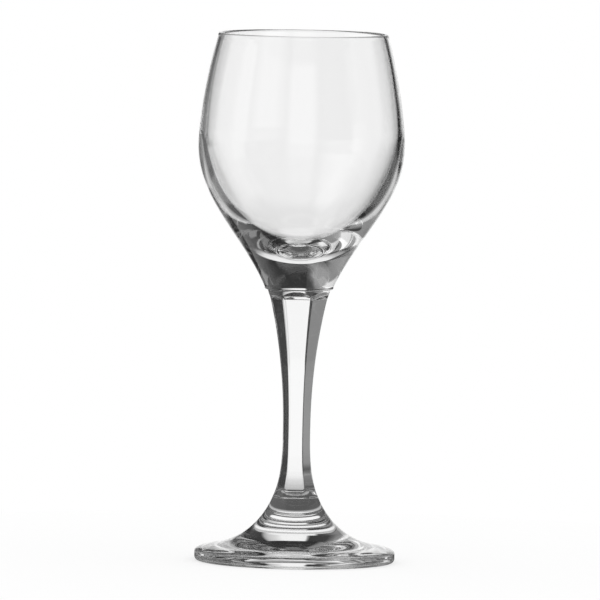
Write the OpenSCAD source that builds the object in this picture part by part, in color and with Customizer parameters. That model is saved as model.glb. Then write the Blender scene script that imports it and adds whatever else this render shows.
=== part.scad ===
// Spirits glass in three fused pieces: a blown bowl with a heavy solid base,
// a pressed six-sided stem and a pressed foot. Millimetres, +Z up.
// The origin is on the table, under the middle of the foot.

/* [Bowl] */
// Height of the whole glass, from the table to the top of the rim
glass_h = 133; // [128:0.5:140]
// Outside diameter at the rim
rim_d = 42.9; // [40.5:0.1:46]
// Thickness of the rounded rim
rim_t = 1.15; // [0.95:0.05:1.35]
// Outside diameter at the belly, the widest place
belly_d = 52; // [50:0.5:56]
// Height of the belly above the table
belly_h = 105; // [102:0.5:109]
// Thickness of the blown wall at the belly
wall_t = 1.65; // [1.4:0.05:1.9]
// Diameter of the solid base just above its rounded lip
base_d = 17.4; // [16.8:0.2:19]
// Solid glass between the drink and the upper weld
floor_t = 9.2; // [8:0.2:10.6]

/* [Stem] */
// Height of the upper weld, where the bowl sits on the stem
upper_weld_h = 68.6; // [66:0.2:71]
// Width across the stem's corners at the upper weld
stem_top_d = 16; // [14.8:0.2:16.2]
// Width across the stem's corners at its waist
waist_d = 6.9; // [6:0.1:8]
// Height of the waist above the table
waist_h = 33; // [30:0.5:36]
// Number of flat facets round the stem
facet_count = 6; // [5:1:8]
// Turn of the facets about the axis, in degrees
facet_turn = -4; // [-30:1:30]

/* [Foot] */
// Height of the lower weld, where the stem stands on the foot
lower_weld_h = 16.2; // [15:0.2:18]
// Diameter at the lower weld
lower_weld_d = 11.5; // [10.5:0.1:12.5]
// Diameter of the foot
foot_d = 50.4; // [48:0.2:56]
// Height of the foot's upright edge
edge_h = 2.2; // [1.8:0.1:2.8]
// Width of the flat ring that the glass stands on
rest_ring_w = 1.9; // [1.3:0.1:3]
// Rise of the shallow hollow under the foot
hollow_h = 1.65; // [1.2:0.05:1.9]

/* [Hidden] */
$fn = 96;
curve_steps = 20;
glass_tint = [0.86, 0.90, 0.92, 0.45];

// Bowl: the rim is a round bead on the wall, which leans in here
rim_lean = 15;
bead_r = rim_t / 2;
bead_centre = [rim_d / 2 - bead_r, glass_h - bead_r];
belly_r = belly_d / 2;
floor_z = upper_weld_h + floor_t;
lip_h = 0.6;
lip_in = 0.4;
lip_edge = [base_d / 2 - lip_in, upper_weld_h];
base_edge = [base_d / 2, upper_weld_h + lip_h];

// Bowl: how far each curve runs straight on before it bends
rim_run = [2.8, -10.4];
belly_run_up = 5.6;
belly_run_down = 14.2;
base_run = [6.1, 13.5];

// Bowl: the inside is widest a little above the belly, and rounds down to a floor of solid glass
inner_belly = [belly_r - wall_t, belly_h + 2.3];
inner_rim_run = [2.8, -9.9];
inner_run_up = 4.1;
inner_run_down = 14.2;
floor_run = 9.4;

// Stem: a short collar flares out to the upper weld, above the long taper
collar_h = 2.4;
collar_edge = [stem_top_d / 2 - 0.85, upper_weld_h - collar_h];
taper_run = [2.4, 10.5];
waist_run_up = 12.5;
waist_run_down = 5.5;
flare_run = [2.3, 5];

// Stem: each facet lies inside the round corners, and runs out close to each weld
corner_round = 1.028;
facet_share = corner_round * cos(180 / facet_count);
facet_half = acos(facet_share);
facet_angles = [-facet_half, -facet_half / 2, 0, facet_half / 2, facet_half, 180 / facet_count];
runout_h = 0.5;
top_runout_h = 1.05;
top_round_h = 0.4;

// Foot: the trumpet flares from the lower weld to a gently sloping shoulder
shoulder = [foot_d / 2 - 3.6, edge_h + 1.7];
trumpet_run = [2.3, 5.55];
shoulder_run = [8.6, 1.1];
shoulder_out = [2, 0.33];
edge_run = 0.9;
foot_round_r = 1;
rest_out_r = foot_d / 2 - foot_round_r;
rest_in_r = rest_out_r - rest_ring_w;

// Foot: the hollow is nearly flat in the middle, and drops to the resting ring near its edge
hollow_mid_run = 17;
hollow_edge_run = [2.2, 0.9];

// Point at share t of the cubic curve that leaves a towards b and arrives at d from c
function curve_point(a, b, c, d, t) =
    pow(1 - t, 3) * a + 3 * pow(1 - t, 2) * t * b + 3 * (1 - t) * t * t * c + pow(t, 3) * d;

// The whole cubic curve as points, without its first one, so that curves join end to end
function curve(a, b, c, d) =
    [for (i = [1 : curve_steps]) curve_point(a, b, c, d, i / curve_steps)];

// Points of an arc about a centre, from one angle to another
function arc(centre, r, from, to, steps) =
    [for (i = [0 : steps]) let (w = from + (to - from) * i / steps) centre + r * [cos(w), sin(w)]];

// Outside of the bowl, from its lip up to the rim
function bowl_outside() =
    let (belly = [belly_r, belly_h], rim = bead_centre + bead_r * [cos(rim_lean), sin(rim_lean)])
    concat(
        [lip_edge, base_edge],
        curve(base_edge, base_edge + base_run, belly - [0, belly_run_down], belly),
        curve(belly, belly + [0, belly_run_up], rim + rim_run, rim));

// Inside of the bowl, from the rim down to the middle of its floor
function bowl_inside() =
    let (floor_mid = [0, floor_z],
         rim = bead_centre - bead_r * [cos(rim_lean), sin(rim_lean)])
    concat(
        curve(rim, rim + inner_rim_run, inner_belly + [0, inner_run_up], inner_belly),
        curve(inner_belly, inner_belly - [0, inner_run_down], floor_mid + [floor_run, 0], floor_mid));

// Point at height z on the straight line through a and b
function at_height(a, b, z) = a + (b - a) * (z - a[1]) / (b[1] - a[1]);

// Half the width across the corners all the way up the stem, with a ring where each run-out ends
function stem_corners() =
    let (low = [lower_weld_d / 2, lower_weld_h],
         waist = [waist_d / 2, waist_h],
         top = [stem_top_d / 2, upper_weld_h],
         flare = curve(low, low + [-flare_run[0], flare_run[1]], waist - [0, waist_run_down], waist))
    concat(
        [low, at_height(low, flare[0], lower_weld_h + runout_h)],
        flare,
        curve(waist, waist + [0, waist_run_up], collar_edge - taper_run, collar_edge),
        [at_height(collar_edge, top, upper_weld_h - top_round_h - top_runout_h),
         at_height(collar_edge, top, upper_weld_h - top_round_h),
         top]);

// Share of the corner radius at which a facet's middle lies: all of it at the welds, less between them
function facet_depth(z) =
    let (from_low = (z - lower_weld_h) / runout_h,
         from_top = (upper_weld_h - top_round_h - z) / top_runout_h,
         t = max(0, min(1, from_low, from_top)))
    1 + (facet_share - 1) * t;

// One ring of points round the stem: flat across each facet, round at each corner
function stem_ring(corner) =
    [for (k = [0 : facet_count - 1], w = facet_angles)
        let (r = corner[0] * min(1, facet_depth(corner[1]) / cos(w)), a = w + k * 360 / facet_count - 90)
        [r * cos(a), r * sin(a), corner[1]]];

// Triangles between ring i and the ring above it, n points each
function band(i, n) =
    [for (j = [0 : n - 1])
        let (a = i * n + j, b = i * n + (j + 1) % n)
        each [[a, a + n, b + n], [a, b + n, b]]];

// Outline of the foot, from the weld out over the edge and back under it to the middle of the hollow
function foot_outline() =
    let (low = [lower_weld_d / 2, lower_weld_h],
         edge = [foot_d / 2, edge_h],
         ring = [rest_in_r, 0],
         middle = [0, hollow_h])
    concat(
        [[0, lower_weld_h], low],
        curve(low, low + [trumpet_run[0], -trumpet_run[1]],
              shoulder + [-shoulder_run[0], shoulder_run[1]], shoulder),
        curve(shoulder, shoulder + [shoulder_out[0], -shoulder_out[1]], edge + [0, edge_run], edge),
        arc([rest_out_r, foot_round_r], foot_round_r, 0, -90, 6),
        [ring],
        curve(ring, ring + [-hollow_edge_run[0], hollow_edge_run[1]], middle + [hollow_mid_run, 0], middle));

// Blown bowl: thin wall, rounded rim, thick solid base with a small lip at the weld
module bowl() {
    color(glass_tint)
    rotate_extrude()
    polygon(concat(
        [[0, upper_weld_h]],
        bowl_outside(),
        arc(bead_centre, bead_r, rim_lean, rim_lean + 180, 12),
        bowl_inside()));
}

// Pressed stem: a waisted bar with flat facets, swept up through its rings and closed at both welds
module stem() {
    corners = stem_corners();
    rings = len(corners);
    n = facet_count * len(facet_angles);
    low_mid = rings * n;
    top_mid = low_mid + 1;
    top = low_mid - n;
    points = concat([for (c = corners) each stem_ring(c)], [[0, 0, lower_weld_h], [0, 0, upper_weld_h]]);
    sides = [for (i = [0 : rings - 2]) each band(i, n)];
    low_cap = [for (j = [0 : n - 1]) [low_mid, j, (j + 1) % n]];
    top_cap = [for (j = [0 : n - 1]) [top_mid, top + (j + 1) % n, top + j]];
    color(glass_tint)
    rotate([0, 0, facet_turn])
    polyhedron(points, concat(sides, low_cap, top_cap));
}

// Pressed foot: a trumpet that flares to a round edge, with a shallow hollow under it
module foot() {
    color(glass_tint)
    rotate_extrude()
    polygon(foot_outline());
}

bowl();
stem();
foot();
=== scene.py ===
"""Looks of the spirits glass.

Three pieces of clear glass, fused at two welds: a blown bowl, a pressed six-sided stem and a pressed foot.
Each is a closed surface of rings about the axis, worked out in millimetres and put into its mesh in metres.
The glass stands on a plain white table in a studio of white panels and grey flags, which give clear glass
its drawn edges. Close to the foot, the table shows the glass painted shade and painted light.
"""
import logging
import math
from dataclasses import dataclass, field
from enum import Enum
from typing import Any

import bpy
import numpy as np
from mathutils import Matrix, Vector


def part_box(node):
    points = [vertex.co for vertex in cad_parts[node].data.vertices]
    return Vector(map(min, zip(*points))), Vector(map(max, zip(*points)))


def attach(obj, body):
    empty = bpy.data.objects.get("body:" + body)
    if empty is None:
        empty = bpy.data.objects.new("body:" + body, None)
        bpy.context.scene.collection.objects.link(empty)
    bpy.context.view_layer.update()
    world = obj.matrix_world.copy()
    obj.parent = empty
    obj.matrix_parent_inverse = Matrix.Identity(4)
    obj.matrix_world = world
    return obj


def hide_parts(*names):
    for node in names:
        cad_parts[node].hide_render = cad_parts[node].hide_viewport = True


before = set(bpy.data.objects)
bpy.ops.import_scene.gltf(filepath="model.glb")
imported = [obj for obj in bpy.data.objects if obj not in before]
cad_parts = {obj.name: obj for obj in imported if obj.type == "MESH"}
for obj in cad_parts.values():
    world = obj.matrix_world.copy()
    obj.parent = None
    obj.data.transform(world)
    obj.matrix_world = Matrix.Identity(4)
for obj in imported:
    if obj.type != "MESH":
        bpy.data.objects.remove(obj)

LOG = logging.getLogger("spirits_glass")
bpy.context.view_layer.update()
METRES_PER_MM = 0.001
METRES_PER_UM = 0.000001
BODY = "root"
AROUND = 432
LIGHT_BOUNCES = 256
WHITE = (1.0, 1.0, 1.0, 1.0)
# The mix node's sockets go by number, because its sockets for numbers, vectors and colours share their names.
MIX_SHARE, MIX_FIRST, MIX_SECOND, MIX_RESULT = 0, 6, 7, 2
# Pairs of a turn in degrees, or a distance in mm, and a brightness.
Greys = tuple[tuple[float, float], ...]


class Slot(Enum):
    """The record's material slots that the pieces take their finish from."""

    BLOWN = "blown_glass"
    PRESSED = "pressed_glass"


class Face(Enum):
    """Which of a piece's two materials a face shows."""

    OUTER = 0
    WELD = 1


def linear(hex_colour: str) -> tuple[float, float, float, float]:
    """Turn an sRGB hex colour into linear RGBA.

    Args:
        hex_colour: six hex digits, such as "f4f6f8".

    Returns:
        Linear red, green and blue, and an alpha of 1.
    """
    channels = [int(hex_colour[i:i + 2], 16) / 255 for i in (0, 2, 4)]
    red, green, blue = (c / 12.92 if c <= 0.04045 else ((c + 0.055) / 1.055) ** 2.4 for c in channels)
    return red, green, blue, 1.0


def add_node(tree: bpy.types.NodeTree, kind: str, settings: dict[Any, Any] | None = None,
             links: dict[Any, Any] | None = None) -> bpy.types.Node:
    """Add one shader node, set it and link it.

    Args:
        tree: the node tree that gets the node.
        kind: the node's type name, such as "ShaderNodeMath".
        settings: attribute names with their values, and input sockets, by number or name, with theirs.
            A colour ramp's "stops" are pairs of share, from 0 to 1, and brightness, in order.
        links: input sockets, by number or name, with the output sockets that feed them.

    Returns:
        The new node.
    """
    node = tree.nodes.new(kind)
    for key, value in (settings or {}).items():
        if key == "stops":
            elements = node.color_ramp.elements
            for number, (position, level) in enumerate(value):
                stop = elements[number] if number < len(elements) else elements.new(position)
                stop.position = position
                stop.color = (level, level, level, 1)
        elif isinstance(key, str) and hasattr(node, key):
            setattr(node, key, value)
        else:
            node.inputs[key].default_value = value
    for socket, source in (links or {}).items():
        tree.links.new(source, node.inputs[socket])
    return node


def line(start: np.ndarray, end: np.ndarray, steps: int) -> np.ndarray:
    """Work out a straight line, without its first point: start + t (end - start) as t goes from 0 to 1.

    Args:
        start: first point, as radius and height, which is left out.
        end: last point.
        steps: number of points.

    Returns:
        Array of steps rows of radius and height.
    """
    return start + (end - start) * np.linspace(0, 1, steps + 1)[1:, None]


def curve(start: np.ndarray, leave: np.ndarray, arrive: np.ndarray, end: np.ndarray,
          steps: int) -> np.ndarray:
    """Work out a cubic curve, without its first point, so that curves join end to end.

    The point at share t is (1-t)^3 start + 3 (1-t)^2 t leave + 3 (1-t) t^2 arrive + t^3 end.

    Args:
        start: first point, as radius and height.
        leave: point that the curve heads for as it leaves the start.
        arrive: point that it comes from as it reaches the end.
        end: last point.
        steps: number of points.

    Returns:
        Array of steps rows of radius and height.
    """
    t = np.linspace(0, 1, steps + 1)[1:, None]
    return (1 - t) ** 3 * start + 3 * (1 - t) ** 2 * t * leave + 3 * (1 - t) * t ** 2 * arrive + t ** 3 * end


def arc(centre: np.ndarray, radius: float, start_deg: float, end_deg: float, steps: int) -> np.ndarray:
    """Work out a circular arc, without its first point.

    The point at angle w is centre + radius (cos w, sin w), as w goes from the start to the end.

    Args:
        centre: the arc's centre, as radius and height.
        radius: the arc's own radius.
        start_deg: angle of the first point, which is left out.
        end_deg: angle of the last point.
        steps: number of points.

    Returns:
        Array of steps rows of radius and height.
    """
    w = np.radians(np.linspace(start_deg, end_deg, steps + 1)[1:])
    return centre + radius * np.column_stack((np.cos(w), np.sin(w)))


def ring_angles() -> np.ndarray:
    """Angles of the points on every ring, the same on all pieces so that welds meet point to point."""
    return np.arange(AROUND) * 2 * math.pi / AROUND


def turned_mesh(name: str, radii: np.ndarray, heights: np.ndarray, end_heights: tuple[float, float],
                weld_ends: tuple[bool, bool]) -> bpy.types.Mesh:
    """Put rings about the axis into a closed mesh, from the end at the bottom or underside to the other end.

    The point at ring i and angle w is (r cos w, r sin w, z), with r = radii[i, w] and z = heights[i]. Rings
    that rise on the outside give faces that point outwards. Each end is closed by a fan to one point on the
    axis.

    Args:
        name: the mesh's name.
        radii: radius in mm at each ring and angle.
        heights: height in mm of each ring.
        end_heights: heights in mm of the points on the axis that close the first and the last ring.
        weld_ends: whether the first and the last fan is a fused weld.

    Returns:
        The mesh, smooth all over, in metres.
    """
    rings, around = radii.shape
    angles = ring_angles()
    levels = np.repeat(heights[:, None], around, axis=1)
    grid = np.stack((radii * np.cos(angles), radii * np.sin(angles), levels), axis=-1)
    poles = np.array([[0, 0, end_heights[0]], [0, 0, end_heights[1]]])
    points = np.vstack((grid.reshape(-1, 3), poles)) * METRES_PER_MM
    index = np.arange(rings * around).reshape(rings, around)
    following = np.roll(index, -1, axis=1)
    quads = np.stack((index[:-1], following[:-1], following[1:], index[1:]), axis=-1).reshape(-1, 4)
    first = np.column_stack((np.full(around, rings * around), following[0], index[0]))
    last = np.column_stack((np.full(around, rings * around + 1), index[-1], following[-1]))
    mesh = bpy.data.meshes.new(name)
    mesh.from_pydata(points.tolist(), [], first.tolist() + quads.tolist() + last.tolist())
    faces = np.full(len(mesh.polygons), Face.OUTER.value, dtype=np.int32)
    faces[:around] = Face.WELD.value if weld_ends[0] else Face.OUTER.value
    faces[-around:] = Face.WELD.value if weld_ends[1] else Face.OUTER.value
    mesh.polygons.foreach_set("material_index", faces)
    mesh.polygons.foreach_set("use_smooth", np.ones(len(mesh.polygons), dtype=bool))
    mesh.update()
    return mesh


@dataclass(frozen=True)
class CrystalGlass:
    """Clear crystal glass, fire-polished.

    The flame leaves a surface as smooth as a liquid's, so the eye gets clear refraction and sharp
    reflections, drawn edges and no colour of its own. What the eye gets of the making is a faint ripple: long
    waves where the glass was blown, shorter ones where it chilled against the mould. The ripple's wave length
    is in mm, and its height in thousandths of a mm.
    """

    name: str
    ripple_mm: float
    ripple_um: float
    tint: str = "ffffff"
    ior: float = 1.52
    roughness: float = 0.0

    def material(self) -> bpy.types.Material:
        """Build the shader: a clear dielectric whose surface ripples faintly."""
        glass = bpy.data.materials.new(self.name)
        glass.use_nodes = True
        tree = glass.node_tree
        tree.nodes.clear()
        place_on = add_node(tree, "ShaderNodeTexCoord").outputs["Object"]
        waves = add_node(tree, "ShaderNodeTexNoise", {
            "Scale": 1 / (self.ripple_mm * METRES_PER_MM), "Detail": 0.0}, {"Vector": place_on})
        ripple = add_node(tree, "ShaderNodeBump", {"Distance": self.ripple_um * METRES_PER_UM}, {
            "Height": waves.outputs[0]})
        body = add_node(tree, "ShaderNodeBsdfPrincipled", {
            "Base Color": linear(self.tint), "IOR": self.ior, "Roughness": self.roughness,
            "Transmission Weight": 1.0}, {"Normal": ripple.outputs[0]})
        add_node(tree, "ShaderNodeOutputMaterial", links={"Surface": body.outputs[0]})
        return glass


@dataclass(frozen=True)
class FusedWeld:
    """The plane where two pieces melted into one: no surface is left there, so light goes straight on."""

    name: str = "fused_weld"

    def material(self) -> bpy.types.Material:
        """Build the shader: wholly transparent."""
        weld = bpy.data.materials.new(self.name)
        weld.use_nodes = True
        tree = weld.node_tree
        tree.nodes.clear()
        gone = add_node(tree, "ShaderNodeBsdfTransparent")
        add_node(tree, "ShaderNodeOutputMaterial", links={"Surface": gone.outputs[0]})
        return weld


def place(name: str, mesh: bpy.types.Mesh, node: str,
          finishes: list[bpy.types.Material]) -> bpy.types.Object:
    """Make a mesh the visible piece that stands for a CAD node.

    Args:
        name: the piece's name.
        mesh: its finished mesh.
        node: the CAD node that it replaces.
        finishes: its materials, in the order of Face.

    Returns:
        The piece.
    """
    piece = bpy.data.objects.new(name, mesh)
    for finish in finishes:
        mesh.materials.append(finish)
    bpy.context.scene.collection.objects.link(piece)
    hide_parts(node)
    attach(piece, BODY)
    return piece


@dataclass
class Stem:
    """Pressed stem: a waisted bar with six flat facets, whose corners are slightly rounded. Sizes in mm."""

    low_r: float = 5.75
    waist_r: float = 3.45
    waist_z: float = 33.0
    top_r: float = 8.0
    collar_h: float = 2.4
    collar_in: float = 0.85
    taper_run: tuple[float, float] = (2.4, 10.5)
    waist_run_up: float = 12.5
    waist_run_down: float = 5.5
    flare_run: tuple[float, float] = (2.3, 5.0)
    facets: int = 6
    facet_turn_deg: float = -4.0
    corner_round: float = 1.028
    corner_soft: float = 0.012
    runout_h: float = 0.5
    top_runout_h: float = 1.05
    top_round_h: float = 0.4
    flare_rings: int = 56
    taper_rings: int = 60
    flange_rings: int = 24
    low_z: float = field(init=False)
    top_z: float = field(init=False)

    def __post_init__(self) -> None:
        """Take the heights of the two welds from the frame."""
        low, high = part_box("stem")
        self.low_z, self.top_z = low[2] / METRES_PER_MM, high[2] / METRES_PER_MM

    def corners(self) -> np.ndarray:
        """Work out half the width across the corners, from the lower weld up.

        Returns:
            Rows of corner radius and height.
        """
        low = np.array([self.low_r, self.low_z])
        waist = np.array([self.waist_r, self.waist_z])
        collar = np.array([self.top_r - self.collar_in, self.top_z - self.collar_h])
        top = np.array([self.top_r, self.top_z])
        flare = curve(low, low + [-self.flare_run[0], self.flare_run[1]],
                      waist - [0, self.waist_run_down], waist, self.flare_rings)
        taper = curve(waist, waist + [0, self.waist_run_up], collar - self.taper_run, collar,
                      self.taper_rings)
        flange = line(collar, top, self.flange_rings)
        return np.vstack((low, flare, taper, flange))

    def section(self, corner_r: np.ndarray, height: np.ndarray) -> np.ndarray:
        """Work out the radius round the stem.

        At an angle v from a facet's middle the flat lies at d / cos v, where d is the facet's depth, and the
        corner at corner_r. The smaller of the two holds, blended over a little so that the edges are rounded.
        The facets run out into a round section close to both welds.

        Args:
            corner_r: corner radius of each ring.
            height: height of each ring.

        Returns:
            Radius at each ring and angle.
        """
        step = 2 * math.pi / self.facets
        from_middle = ring_angles() + math.pi / 2 - math.radians(self.facet_turn_deg)
        v = (from_middle + step / 2) % step - step / 2
        up_from_low = (height - self.low_z) / self.runout_h
        down_from_top = (self.top_z - self.top_round_h - height) / self.top_runout_h
        runout = np.clip(np.minimum(up_from_low, down_from_top), 0, 1)
        share = 1 + (self.corner_round * math.cos(step / 2) - 1) * runout
        flat = share[:, None] / np.cos(v)[None, :]
        gap = flat - 1
        soft = self.corner_soft * runout[:, None]
        return corner_r[:, None] * (1 + (gap - np.sqrt(gap ** 2 + soft ** 2)) / 2)

    def build(self, finishes: list[bpy.types.Material]) -> bpy.types.Object:
        """Build the stem from its rings, with a weld at both ends."""
        corners = self.corners()
        radii = self.section(corners[:, 0], corners[:, 1])
        mesh = turned_mesh("stem_glass", radii, corners[:, 1], (self.low_z, self.top_z), (True, True))
        return place("stem_glass", mesh, "stem", finishes)


@dataclass
class Bowl:
    """Blown bowl: a thin wall with a round rim, on a thick solid base with a small lip at the weld.

    Sizes in mm. The lip's shares say how far its curve leaves along the weld and arrives up the side.
    """

    stem: Stem
    rim_r: float = 21.45
    rim_t: float = 1.15
    rim_lean_deg: float = 15.0
    belly_z: float = 105.0
    base_r: float = 8.7
    lip_h: float = 0.6
    lip_in: float = 0.4
    lip_leave_share: float = 0.7
    lip_arrive_share: float = 0.6
    rim_run: tuple[float, float] = (2.8, -10.4)
    belly_run_up: float = 5.6
    belly_run_down: float = 14.2
    base_run: tuple[float, float] = (6.1, 13.5)
    inner_belly_in: float = 1.65
    inner_belly_z: float = 107.3
    inner_rim_run: tuple[float, float] = (2.8, -9.9)
    inner_run_up: float = 4.1
    inner_run_down: float = 14.2
    floor_t: float = 9.2
    floor_run: float = 9.4
    lip_rings: int = 8
    low_rings: int = 54
    up_rings: int = 36
    rim_rings: int = 16
    weld_z: float = field(init=False)
    top_z: float = field(init=False)
    belly_r: float = field(init=False)

    def __post_init__(self) -> None:
        """Take the weld, the rim's height and the belly's radius from the frame."""
        low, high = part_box("bowl")
        self.weld_z, self.top_z = low[2] / METRES_PER_MM, high[2] / METRES_PER_MM
        self.belly_r = high[0] / METRES_PER_MM

    def outline(self) -> np.ndarray:
        """Work out the bowl's half section: lip, outer wall, rim bead, inner wall and floor.

        Returns:
            Rows of radius and height, from the lip's edge at the weld to beside the middle of the floor.
        """
        bead_r = self.rim_t / 2
        bead = np.array([self.rim_r - bead_r, self.top_z - bead_r])
        lean = math.radians(self.rim_lean_deg)
        across = bead_r * np.array([math.cos(lean), math.sin(lean)])
        bead_out, bead_in = bead + across, bead - across
        lip = np.array([self.base_r - self.lip_in, self.weld_z])
        base = np.array([self.base_r, self.weld_z + self.lip_h])
        belly = np.array([self.belly_r, self.belly_z])
        belly_in = np.array([self.belly_r - self.inner_belly_in, self.inner_belly_z])
        floor_mid = np.array([0, self.weld_z + self.floor_t])
        lip_curve = curve(lip, lip + [self.lip_in * self.lip_leave_share, 0],
                          base - [0, self.lip_h * self.lip_arrive_share], base, self.lip_rings)
        outer_low = curve(base, base + self.base_run,
                          belly - [0, self.belly_run_down], belly, self.low_rings)
        outer_up = curve(belly, belly + [0, self.belly_run_up],
                         bead_out + self.rim_run, bead_out, self.up_rings)
        rim = arc(bead, bead_r, self.rim_lean_deg, self.rim_lean_deg + 180, self.rim_rings)
        inner_up = curve(bead_in, bead_in + self.inner_rim_run,
                         belly_in + [0, self.inner_run_up], belly_in, self.up_rings)
        inner_low = curve(belly_in, belly_in - [0, self.inner_run_down],
                          floor_mid + [self.floor_run, 0], floor_mid, self.low_rings)
        return np.vstack((lip, lip_curve, outer_low, outer_up, rim, inner_up, inner_low[:-1]))

    def build(self, finishes: list[bpy.types.Material]) -> bpy.types.Object:
        """Build the bowl from its rings; the first ring is the stem's own top edge, round the weld."""
        outline = self.outline()
        stem_top = self.stem.section(np.array([self.stem.top_r]), np.array([self.stem.top_z]))
        radii = np.vstack((stem_top, np.repeat(outline[:, :1], AROUND, axis=1)))
        heights = np.concatenate(([self.weld_z], outline[:, 1]))
        ends = (self.weld_z, self.weld_z + self.floor_t)
        mesh = turned_mesh("bowl_glass", radii, heights, ends, (True, False))
        return place("bowl_glass", mesh, "bowl", finishes)


@dataclass
class Foot:
    """Pressed foot: a trumpet that flares to a thick round edge, over a shallow hollow. Sizes in mm."""

    low_weld_r: float = 5.75
    edge_h: float = 2.2
    shoulder_in: float = 3.6
    shoulder_up: float = 1.7
    trumpet_run: tuple[float, float] = (2.3, 5.55)
    shoulder_run: tuple[float, float] = (8.6, 1.1)
    shoulder_out: tuple[float, float] = (2.0, 0.33)
    edge_run: float = 0.9
    round_r: float = 1.0
    rest_ring_w: float = 1.9
    hollow_h: float = 1.65
    hollow_mid_run: float = 17.0
    hollow_edge_run: tuple[float, float] = (2.2, 0.9)
    hollow_rings: int = 32
    rest_rings: int = 4
    round_rings: int = 10
    side_rings: int = 3
    shoulder_rings: int = 20
    trumpet_rings: int = 64
    radius: float = field(init=False)
    weld_z: float = field(init=False)

    def __post_init__(self) -> None:
        """Take the foot's radius and the height of the lower weld from the frame."""
        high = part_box("foot")[1]
        self.radius, self.weld_z = high[0] / METRES_PER_MM, high[2] / METRES_PER_MM

    def outline(self) -> np.ndarray:
        """Work out the foot's half section: hollow, rest ring, edge, shoulder and trumpet.

        Returns:
            Rows of radius and height, from beside the hollow's middle out, up over the edge and in to the weld.
        """
        weld = np.array([self.low_weld_r, self.weld_z])
        edge = np.array([self.radius, self.edge_h])
        shoulder = np.array([self.radius - self.shoulder_in, self.edge_h + self.shoulder_up])
        middle = np.array([0, self.hollow_h])
        rest_out = np.array([self.radius - self.round_r, 0])
        rest_in = rest_out - [self.rest_ring_w, 0]
        hollow = curve(middle, middle + [self.hollow_mid_run, 0],
                       rest_in + [-self.hollow_edge_run[0], self.hollow_edge_run[1]], rest_in,
                       self.hollow_rings)
        rest = line(rest_in, rest_out, self.rest_rings)
        rounding = arc(rest_out + [0, self.round_r], self.round_r, -90, 0, self.round_rings)
        side = line(np.array([self.radius, self.round_r]), edge, self.side_rings)
        over = curve(edge, edge + [0, self.edge_run],
                     shoulder + [self.shoulder_out[0], -self.shoulder_out[1]], shoulder, self.shoulder_rings)
        trumpet = curve(shoulder, shoulder + [-self.shoulder_run[0], self.shoulder_run[1]],
                        weld + [self.trumpet_run[0], -self.trumpet_run[1]], weld, self.trumpet_rings)
        return np.vstack((hollow, rest, rounding, side, over, trumpet))

    def build(self, finishes: list[bpy.types.Material]) -> bpy.types.Object:
        """Build the foot from its rings, with a weld on top."""
        outline = self.outline()
        radii = np.repeat(outline[:, :1], AROUND, axis=1)
        mesh = turned_mesh("foot_glass", radii, outline[:, 1], (self.hollow_h, self.weld_z), (False, True))
        return place("foot_glass", mesh, "foot", finishes)


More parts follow.
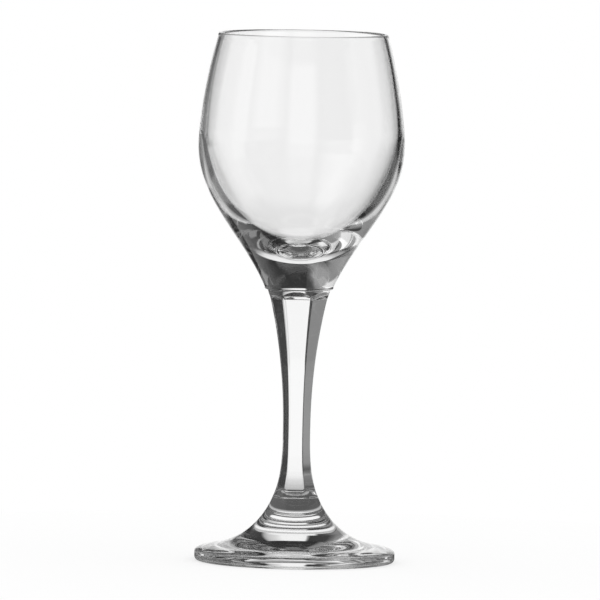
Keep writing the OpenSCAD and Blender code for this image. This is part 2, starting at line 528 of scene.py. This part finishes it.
@dataclass
class Studio:
    """Plain soft studio: a white table, a white panel behind the glass, grey and black flags and softboxes.

    What stands round the glass is told by direction alone, as if it stood far off. Each scale of greys goes
    round the glass in pairs of turn and brightness, straight from one pair to the next. Turns are in degrees
    from straight behind the glass, to the right as the photograph shows it. Each band of heights has its own
    scale, and comes in between the two elevations that are given for it. Gaps of light between the flags keep
    the glass clear from the other sides. On the table, sizes in mm are distances from the axis.
    """

    left_side: Greys = (
        (-180, 0.6), (-168, 0.6), (-160, 0.3), (-116, 0.3), (-112, 1.15), (-96, 1.15), (-92, 0.85),
        (-66, 0.85), (-60, 0.3), (-48, 0.3))
    right_side: Greys = (
        (48, 0.02), (54, 0.2), (84, 0.2), (90, 0.02), (107, 0.02), (111, 0.3), (119, 0.3), (124, 0.02),
        (160, 0.03), (168, 0.6), (180, 0.6))
    walls: Greys = (
        (-40, 0.27), (-34, 0.25), (-29, 0.15), (-24, 0.05), (-9, 0.04), (-7, 0.97), (8, 0.97), (12, 0.75),
        (18, 0.6), (21, 0.4), (23.5, 0.02))
    middle: Greys = (
        (-37, 0.28), (-33, 0.27), (-29, 0.22), (-25, 0.14), (-20, 0.08), (-15, 0.06), (-12.5, 0.98),
        (12, 0.98), (17, 0.85), (21, 0.4), (23.5, 0.02))
    low: Greys = (
        (-31, 0.25), (-29, 0.012), (-16, 0.012), (-13, 0.98), (13, 0.98), (19, 0.6), (21, 0.02),
        (105, 0.02), (125, 0.9), (145, 0.9), (162, 0.1), (167, 0.6), (180, 0.6))
    ceiling: Greys = (
        (-180, 0.06), (-135, 0.06), (-120, 0.4), (-60, 0.4), (-45, 0.3), (-25, 0.25), (-18, 0.03),
        (180, 0.03))
    zenith: Greys = ((-180, 0.03), (180, 0.03))
    ground_left: Greys = (
        (-180, 0.6), (-166, 0.6), (-158, 0.3), (-110, 0.3), (-104, 0.85), (-66, 0.85), (-60, 0.3),
        (-42, 0.1), (-36, 0.1))
    close_left: Greys = (
        (-180, 0.6), (-166, 0.6), (-158, 0.3), (-110, 0.3), (-104, 0.85), (-58, 0.9), (-39, 0.9),
        (-36, 0.1))
    ground: Greys = (
        (-33, 0.05), (-31, 0.02), (-22, 0.02), (-19.5, 0.3), (-14, 0.55), (-10.5, 0.88), (-7, 0.92),
        (9, 0.92), (14, 0.8), (17, 0.4), (21, 0.1), (24, 0.02), (105, 0.02), (125, 0.9), (145, 0.9),
        (162, 0.1), (167, 0.6), (180, 0.6))
    middle_deg: tuple[float, float] = (3.0, 1.5)
    low_deg: tuple[float, float] = (-5.5, -7.5)
    ceiling_deg: tuple[float, float] = (21.0, 22.8)
    zenith_deg: tuple[float, float] = (66.0, 80.0)
    ground_deg: tuple[float, float] = (-10.5, -14.5)
    close_deg: tuple[float, float] = (-16.0, -19.0)
    table_r_mm: float = 150.0
    table_gap_mm: float = 0.02
    # Painted shadows and reflections of the flags on the table, as the glass sees it, by turn about the axis.
    painted_flag_shade: Greys = (
        (-180, 0.2), (-60, 0.2), (-57, 0.85), (-46, 0.85), (-43, 0.3), (-31, 0.3), (-29, 0.03),
        (-21, 0.03), (-19, 1.0), (19, 1.0), (21, 0.03), (116, 0.03), (120, 0.85), (150, 0.85),
        (154, 0.03), (180, 0.2))
    # Painted shade on the table by distance from the axis: dark under the foot, a painted bright ring of
    # gathered light from 16 to 22.5 mm, lighter further out.
    table_shade_mm: Greys = (
        (0, 0.1), (14, 0.1), (16, 0.55), (22.5, 0.55), (24, 0.1), (31, 0.12), (36, 0.5), (50, 0.61),
        (75, 0.8), (90, 0.95), (150, 1.0))
    # Distances from the axis over which the painted flag shadows and reflections come in on the table.
    painted_flag_shade_from_mm: tuple[float, float] = (24.0, 34.0)
    shown_to_mm: tuple[float, float] = (65.0, 90.0)
    # Painted patches of gathered light on the table: distance behind the axis, half width and half depth in mm.
    painted_light_patches_mm: tuple[tuple[float, float, float], ...] = ((27.0, 4.5, 2.2), (18.7, 3.0, 1.8))
    patch_whole_to: float = 0.8
    glow_share: float = 0.65

    def bands(self) -> tuple[tuple[tuple[float, float], Greys], ...]:
        """List the bands of heights that come over the walls, each with its elevations and its scale."""
        return (
            (self.middle_deg, self.left_side + self.middle + self.right_side),
            (self.low_deg, self.left_side + self.low),
            (self.ceiling_deg, self.ceiling),
            (self.zenith_deg, self.zenith),
            (self.ground_deg, self.ground_left + self.ground),
            (self.close_deg, self.close_left + self.ground),
        )

    def world(self) -> None:
        """Build the world: white for the camera and for the table's light, the studio for the glass."""
        world = bpy.data.worlds.new("studio")
        bpy.context.scene.world = world
        world.use_nodes = True
        world.cycles.sampling_method = "NONE"
        tree = world.node_tree
        tree.nodes.clear()
        way = add_node(tree, "ShaderNodeTexCoord").outputs["Generated"]
        rise = add_node(tree, "ShaderNodeMath", {"operation": "ARCSINE"}, {
            0: add_node(tree, "ShaderNodeSeparateXYZ", links={0: way}).outputs["Z"]})
        seen = self.round_scale(tree, way, self.left_side + self.walls + self.right_side)
        for (start, end), stops in self.bands():
            share = add_node(tree, "ShaderNodeMapRange", {
                "interpolation_type": "SMOOTHSTEP", "From Min": math.radians(start),
                "From Max": math.radians(end)}, {"Value": rise.outputs[0]})
            seen = add_node(tree, "ShaderNodeMix", {"data_type": "RGBA"}, {
                MIX_SHARE: share.outputs[0], MIX_FIRST: seen,
                MIX_SECOND: self.round_scale(tree, way, stops)}).outputs[MIX_RESULT]
        path = add_node(tree, "ShaderNodeLightPath")
        plain = add_node(tree, "ShaderNodeMath", {"operation": "MAXIMUM"}, {
            0: path.outputs["Is Camera Ray"], 1: path.outputs["Is Diffuse Ray"]})
        room = add_node(tree, "ShaderNodeMix", {"data_type": "RGBA", MIX_SECOND: WHITE}, {
            MIX_SHARE: plain.outputs[0], MIX_FIRST: seen})
        light = add_node(tree, "ShaderNodeBackground", links={"Color": room.outputs[MIX_RESULT]})
        add_node(tree, "ShaderNodeOutputWorld", links={"Surface": light.outputs[0]})

    def round_scale(self, tree: bpy.types.NodeTree, place_or_way: bpy.types.NodeSocket,
                    stops: Greys) -> bpy.types.NodeSocket:
        """Lay a scale of greys round the glass.

        Args:
            tree: the node tree that gets the scale.
            place_or_way: vector whose turn about the axis, the angle of x over y, picks the grey.
            stops: pairs of turn in degrees and brightness, from straight in front round by the left.

        Returns:
            The brightness.
        """
        parts = add_node(tree, "ShaderNodeSeparateXYZ", links={0: place_or_way})
        turn = add_node(tree, "ShaderNodeMath", {"operation": "ARCTAN2"}, {
            0: parts.outputs["X"], 1: parts.outputs["Y"]})
        share = add_node(tree, "ShaderNodeMapRange", {"From Min": -math.pi, "From Max": math.pi}, {
            "Value": turn.outputs[0]})
        return add_node(tree, "ShaderNodeValToRGB", {
            "stops": [((degrees + 180) / 360, level) for degrees, level in stops]}, {
            0: share.outputs[0]}).outputs[0]

    def patch(self, tree: bpy.types.NodeTree, place_on: bpy.types.NodeSocket, behind: float,
              half_width: float, half_depth: float) -> bpy.types.NodeSocket:
        """Paint a bright patch of light on the table, as the foot would gather it.

        At x and y from the patch's middle the reach is the square root of (x / half width)^2 +
        (y / half depth)^2. The patch is whole up to a reach of patch_whole_to and gone at 1.

        Args:
            tree: the node tree that gets the patch.
            place_on: the place on the table.
            behind: how far behind the axis the patch's middle lies, in mm.
            half_width: half the patch's width in mm.
            half_depth: half its depth in mm.

        Returns:
            Share of the patch, from 0 to 1.
        """
        middle = (0.0, behind * METRES_PER_MM, 0.0)
        half = (half_width * METRES_PER_MM, half_depth * METRES_PER_MM, 1.0)
        off = add_node(tree, "ShaderNodeVectorMath", {"operation": "SUBTRACT", 1: middle}, {0: place_on})
        parts = add_node(tree, "ShaderNodeVectorMath", {"operation": "DIVIDE", 1: half}, {0: off.outputs[0]})
        reach = add_node(tree, "ShaderNodeVectorMath", {"operation": "LENGTH"}, {0: parts.outputs[0]})
        return add_node(tree, "ShaderNodeMapRange", {
            "interpolation_type": "SMOOTHSTEP", "From Min": 1.0, "From Max": self.patch_whole_to}, {
            "Value": reach.outputs["Value"]}).outputs[0]

    def table_material(self) -> bpy.types.Material:
        """Build white acrylic sheet, lit from below: most of its white is its own glow, so shadows are faint.

        Glass sees the table close to the foot with painted shade and painted light: a painted contact shade
        under the foot, a painted bright ring and patches of gathered light, and painted shadows and reflections
        of the flags beside it. Further out, glass sees past the table to the studio.
        """
        white = bpy.data.materials.new("white_acrylic_table")
        white.use_nodes = True
        tree = white.node_tree
        tree.nodes.clear()
        place_on = add_node(tree, "ShaderNodeTexCoord").outputs["Object"]
        length = add_node(tree, "ShaderNodeVectorMath", {"operation": "LENGTH"}, {0: place_on})
        reach = length.outputs["Value"]
        share = add_node(tree, "ShaderNodeMapRange", {"From Max": self.table_r_mm * METRES_PER_MM}, {
            "Value": reach})
        shade = add_node(tree, "ShaderNodeValToRGB", {
            "stops": [(r / self.table_r_mm, level) for r, level in self.table_shade_mm]}, {
            0: share.outputs[0]})
        beyond = add_node(tree, "ShaderNodeMapRange", {
            "interpolation_type": "SMOOTHSTEP", "From Min": self.painted_flag_shade_from_mm[0] * METRES_PER_MM,
            "From Max": self.painted_flag_shade_from_mm[1] * METRES_PER_MM}, {"Value": reach})
        # Beyond that reach, the painted flag shadows and reflections darken the painted shade.
        seen = add_node(tree, "ShaderNodeMix", {"data_type": "RGBA", "blend_type": "MULTIPLY"}, {
            MIX_SHARE: beyond.outputs[0], MIX_FIRST: shade.outputs[0],
            MIX_SECOND: self.round_scale(tree, place_on, self.painted_flag_shade)})
        # The painted patches of light go over the painted shade.
        for patch in self.painted_light_patches_mm:
            seen = add_node(tree, "ShaderNodeMix", {"data_type": "RGBA", MIX_SECOND: WHITE}, {
                MIX_SHARE: self.patch(tree, place_on, *patch), MIX_FIRST: seen.outputs[MIX_RESULT]})
        # Glass sees the painted shade, the painted flag shadows and reflections and the painted patches of
        # light as the table's glow.
        shown = add_node(tree, "ShaderNodeEmission", links={"Color": seen.outputs[MIX_RESULT]})
        far = add_node(tree, "ShaderNodeMapRange", {
            "From Min": self.shown_to_mm[0] * METRES_PER_MM,
            "From Max": self.shown_to_mm[1] * METRES_PER_MM}, {"Value": reach})
        onward = add_node(tree, "ShaderNodeBsdfTransparent")
        for_glass = add_node(tree, "ShaderNodeMixShader", links={
            0: far.outputs[0], 1: shown.outputs[0], 2: onward.outputs[0]})
        glow = add_node(tree, "ShaderNodeEmission")
        matte = add_node(tree, "ShaderNodeBsdfDiffuse", {"Color": WHITE})
        for_camera = add_node(tree, "ShaderNodeMixShader", {0: 1 - self.glow_share}, {
            1: glow.outputs[0], 2: matte.outputs[0]})
        path = add_node(tree, "ShaderNodeLightPath")
        surface = add_node(tree, "ShaderNodeMixShader", links={
            0: path.outputs["Is Camera Ray"], 1: for_glass.outputs[0], 2: for_camera.outputs[0]})
        add_node(tree, "ShaderNodeOutputMaterial", links={"Surface": surface.outputs[0]})
        return white

    def table(self) -> None:
        """Lay the table top: a flat round sheet just under the foot, whose edge is (r cos w, r sin w)."""
        w, r = ring_angles(), self.table_r_mm
        edge_mm = np.column_stack((r * np.cos(w), r * np.sin(w), np.full(AROUND, -self.table_gap_mm)))
        mesh = bpy.data.meshes.new("table_top")
        mesh.from_pydata((edge_mm * METRES_PER_MM).tolist(), [], [list(range(AROUND))])
        mesh.materials.append(self.table_material())
        top = bpy.data.objects.new("table_top", mesh)
        bpy.context.scene.collection.objects.link(top)


@dataclass
class PhotoCamera:
    """The photograph's camera: far off, a little above the glass, and turned a degree about its view line."""

    distance: float = 3.0
    elevation_deg: float = 3.8
    roll_deg: float = 1.02
    mm_per_pixel: float = 0.2515
    image_px: int = 600
    aim_mm: tuple[float, float, float] = (0.28, 0.0, 65.85)
    sensor_mm: float = 36.0

    def build(self) -> None:
        """Make the camera and set it as the scene's."""
        lift, roll = math.radians(self.elevation_deg), math.radians(self.roll_deg)
        aim = np.array(self.aim_mm) * METRES_PER_MM
        back = np.array([0, -math.cos(lift), math.sin(lift)])
        level = np.array([1.0, 0, 0])
        upright = np.cross(back, level)
        right = level * math.cos(roll) + upright * math.sin(roll)
        up = upright * math.cos(roll) - level * math.sin(roll)
        lens = bpy.data.cameras.new("photo_camera")
        lens.sensor_width = self.sensor_mm
        lens.lens = self.sensor_mm * self.distance / (self.image_px * self.mm_per_pixel * METRES_PER_MM)
        camera = bpy.data.objects.new("photo_camera", lens)
        matrix = np.eye(4)
        matrix[:3] = np.column_stack((right, up, back, aim + back * self.distance))
        camera.matrix_world = Matrix(matrix.tolist())
        bpy.context.scene.collection.objects.link(camera)
        bpy.context.scene.camera = camera


def set_view() -> None:
    """Set the view transform, and enough bounces for light inside the walls to come out again."""
    scene = bpy.context.scene
    scene.view_settings.view_transform = "Standard"
    scene.cycles.max_bounces = LIGHT_BOUNCES
    scene.cycles.transmission_bounces = LIGHT_BOUNCES
    scene.cycles.glossy_bounces = LIGHT_BOUNCES
    scene.cycles.transparent_max_bounces = LIGHT_BOUNCES


def main() -> None:
    """Build the pieces, the studio and the camera, and report each piece."""
    logging.basicConfig(level=logging.INFO, format="%(message)s")
    weld = FusedWeld().material()
    blown = CrystalGlass("blown_crystal_glass", ripple_mm=9.0, ripple_um=12.0).material()
    pressed = CrystalGlass("pressed_crystal_glass", ripple_mm=3.5, ripple_um=6.0).material()
    stem = Stem()
    pieces = [
        Bowl(stem).build([blown, weld]),
        stem.build([pressed, weld]),
        Foot().build([pressed, weld]),
    ]
    for piece in pieces:
        LOG.info("%s: %d faces", piece.name, len(piece.data.polygons))
    studio = Studio()
    studio.world()
    studio.table()
    PhotoCamera().build()
    set_view()


if __name__ == "__main__":
    main()
